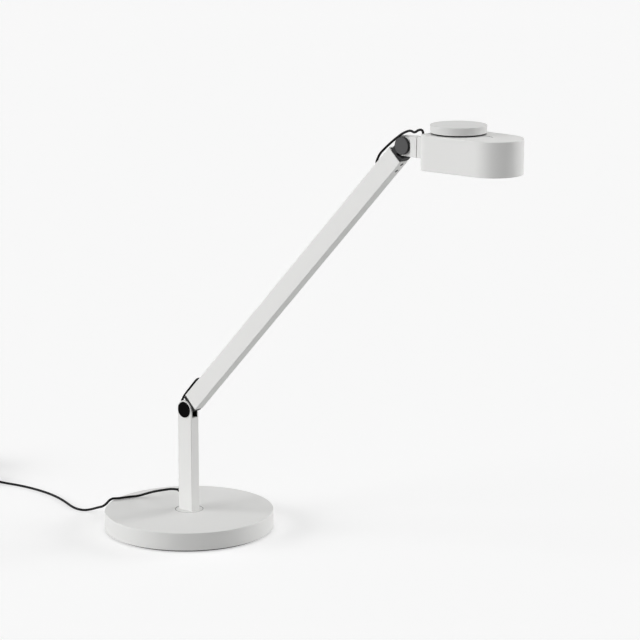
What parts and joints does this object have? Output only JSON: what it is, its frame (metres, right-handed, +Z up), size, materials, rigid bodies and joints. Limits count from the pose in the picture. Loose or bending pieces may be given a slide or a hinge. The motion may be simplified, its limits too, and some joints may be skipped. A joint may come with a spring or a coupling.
{
  "type": "adjustable desk lamp",
  "caption": "Desk lamp with a weighted round base, a swivelling square post, one long friction-hinged arm, a tilting and rolling flat light head and a wide dimmer disc.",
  "frame": {"origin": "on the table, under the centre of the round base", "axes": "+Z up, +X the way the arm leans out, +Y to the left of the arm seen from the base"},
  "size_m": [0.8593, 0.18, 0.4678],
  "materials": {
    "white_paint": "fine satin powder coat",
    "white_plastic": "satin moulded",
    "dark_plastic": "fine matt moulded",
    "cord_rubber": "smooth satin sheath",
    "foot_rubber": "matt foam",
    "cast_iron": "rough cast",
    "steel": "plated",
    "dark_steel": "blackened",
    "bronze": "sintered",
    "aluminium": "bare extruded",
    "opal": "opal diffusing",
    "board": "lacquered laminate",
    "led": "phosphor gel",
    "black_plastic": "fine spark-eroded",
    "pin_metal": "nickel plated"
  },
  "bodies": {
    "base": {"base_cover": "white_paint", "base_weight": "cast_iron", "base_plate": "steel", "base_screws": "steel", "foot_pad": "foot_rubber", "swivel_bush": "black_plastic", "swivel_stop_pins": "steel", "cord_tube": "cord_rubber", "cord_coil": "cord_rubber", "cord_tail": "cord_rubber", "adapter_body": "black_plastic", "adapter_relief": "cord_rubber", "adapter_pins": "pin_metal"},
    "post": {"swivel_disc": "white_paint", "swivel_shaft": "steel", "swivel_spring_washer": "steel", "swivel_stop_washer": "steel", "swivel_nut": "steel", "post_tube": "white_paint", "post_foot_insert": "aluminium", "cord_relief": "cord_rubber", "lower_pivot_sleeve": "steel", "lower_pivot_screw": "steel", "lower_pivot_caps": "dark_plastic", "lower_friction_washers": "black_plastic", "post_wire": "cord_rubber"},
    "arm": {"arm_tube": "white_paint", "lower_insert": "dark_plastic", "lower_bush": "bronze", "lower_insert_screws": "dark_steel", "upper_fork": "dark_plastic", "upper_fork_screws": "dark_steel", "upper_pivot_screw": "dark_steel", "arm_grommets": "cord_rubber", "arm_wire": "cord_rubber", "lower_lead": "cord_rubber", "upper_lead": "cord_rubber"},
    "neck": {"neck_block": "white_paint", "upper_bush": "bronze", "upper_friction_washers": "black_plastic", "roll_bolt": "steel", "roll_grub_screw": "dark_steel"},
    "head": {"head_collar": "white_paint", "collar_screws": "steel", "roll_spring_washer": "steel", "head_shell": "white_paint", "heat_sink": "aluminium", "led_board": "aluminium", "leds": "led", "reflector": "white_plastic", "diffuser": "opal", "board_screws": "steel", "dimmer_board": "board", "potentiometer": "bronze", "potentiometer_nut": "steel", "head_grommet": "cord_rubber"},
    "knob": {"dimmer_knob": "white_plastic", "knob_spindle": "steel"}
  },
  "joints": [
    {"name": "base_swivel", "type": "hinge", "parent": "base", "child": "post", "pos_m": [0, 0, 0.021], "axis": [0, 0, 1], "range_deg": [-90, 90], "deforming": ["cord_tube"]},
    {"name": "arm_tilt", "type": "hinge", "parent": "post", "child": "arm", "pos_m": [0, 0, 0.131], "axis": [0, 1, 0], "range_deg": [-54, 30], "deforming": ["lower_lead"]},
    {"name": "head_tilt", "type": "hinge", "parent": "arm", "child": "neck", "pos_m": [0.30009, 0, 0.44176], "axis": [0, 1, 0], "range_deg": [-75, 20], "deforming": ["upper_lead"]},
    {"name": "head_roll", "type": "hinge", "parent": "neck", "child": "head", "pos_m": [0.3176, 0, 0.44176], "axis": [1, 0, 0], "range_deg": [-45, 45]},
    {"name": "dimmer_turn", "type": "hinge", "parent": "head", "child": "knob", "pos_m": [0.365, 0, 0.4605], "axis": [0, 0, 1], "range_deg": [-270, 0]}
  ]
}
